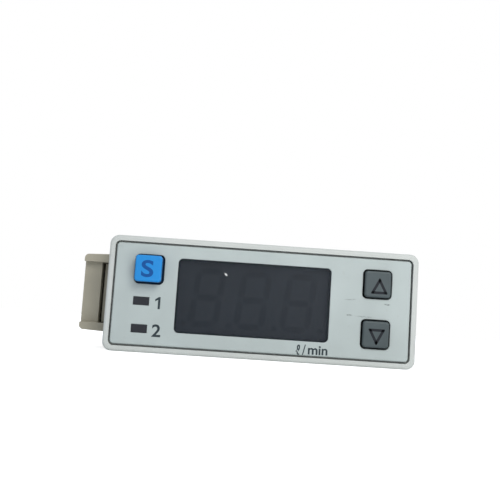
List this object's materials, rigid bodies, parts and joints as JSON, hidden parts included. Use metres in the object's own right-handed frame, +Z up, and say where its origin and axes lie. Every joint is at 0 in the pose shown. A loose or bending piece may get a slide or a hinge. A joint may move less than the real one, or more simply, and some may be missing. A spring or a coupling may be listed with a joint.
{
  "type": "flow switch",
  "caption": "Slim panel-mount display unit of a digital flow switch, with a bezel, a smoked digit window, pressable keys, ratchet panel adapters and a pluggable terminal block.",
  "frame": {"origin": "middle of the bezel's seating face, in the plane that lies on the front of the panel", "axes": "+X to the right seen from the front, +Y back through the panel along the case, +Z up the face"},
  "size_m": [0.0744, 0.0775, 0.023],
  "materials": {
    "case_plastic": "fine moulded texture, pale warm grey",
    "plate_plastic": "smooth satin, pale cool grey",
    "smoked_plastic": "smoked clear plastic",
    "blue_plastic": "satin blue",
    "key_plastic": "satin mid grey",
    "black_plastic": "moulded black",
    "module_plastic": "dark grey digit module face",
    "segment_plastic": "unlit milky segments",
    "board_laminate": "green solder mask",
    "plated_brass": "tin plated",
    "can_aluminium": "bright can",
    "terminal_plastic": "green terminal plastic",
    "screw_steel": "zinc plated",
    "adapter_plastic": "moulded warm grey beige"
  },
  "bodies": {
    "case": {"housing": "case_plastic", "front_plate": "plate_plastic", "display_window": "smoked_plastic", "indicator_lens_1": "smoked_plastic", "indicator_lens_2": "smoked_plastic", "set_switch": "black_plastic", "up_switch": "black_plastic", "down_switch": "black_plastic", "display_case": "module_plastic", "display_segments": "segment_plastic", "indicator_lamp_1": "segment_plastic", "indicator_lamp_2": "segment_plastic", "front_board": "board_laminate", "main_board": "board_laminate", "board_link": "black_plastic", "link_pins": "plated_brass", "processor_chip": "black_plastic", "filter_capacitors": "can_aluminium", "power_inductor": "black_plastic", "output_drivers": "black_plastic", "voltage_regulator": "black_plastic", "terminal_header": "terminal_plastic", "header_pins": "plated_brass", "rear_cover": "case_plastic"},
    "set_button": {"set_key": "blue_plastic", "set_plunger": "black_plastic"},
    "up_button": {"up_key": "key_plastic", "up_plunger": "black_plastic"},
    "down_button": {"down_key": "key_plastic", "down_plunger": "black_plastic"},
    "left_clip": {"left_adapter": "adapter_plastic"},
    "right_clip": {"right_adapter": "adapter_plastic"},
    "wiring_plug": {"terminal_plug": "terminal_plastic", "clamp_cages": "plated_brass", "terminal_screws": "screw_steel"}
  },
  "joints": [
    {"name": "set_key_press", "type": "slide", "parent": "case", "child": "set_button", "axis": [0, 1, 0], "range_m": [0, 0.0003], "stiffness_N_per_m": 3000, "springref_m": -0.0001},
    {"name": "up_key_press", "type": "slide", "parent": "case", "child": "up_button", "axis": [0, 1, 0], "range_m": [0, 0.0003], "stiffness_N_per_m": 3000, "springref_m": -0.0001},
    {"name": "down_key_press", "type": "slide", "parent": "case", "child": "down_button", "axis": [0, 1, 0], "range_m": [0, 0.0003], "stiffness_N_per_m": 3000, "springref_m": -0.0001},
    {"name": "left_adapter_slide", "type": "slide", "parent": "case", "child": "left_clip", "axis": [0, 1, 0], "range_m": [-0.003, 0.026]},
    {"name": "right_adapter_slide", "type": "slide", "parent": "case", "child": "right_clip", "axis": [0, 1, 0], "range_m": [-0.02, 0.009]},
    {"name": "terminal_plug_pull", "type": "slide", "parent": "case", "child": "wiring_plug", "axis": [0, 1, 0], "range_m": [0, 0.009]}
  ]
}
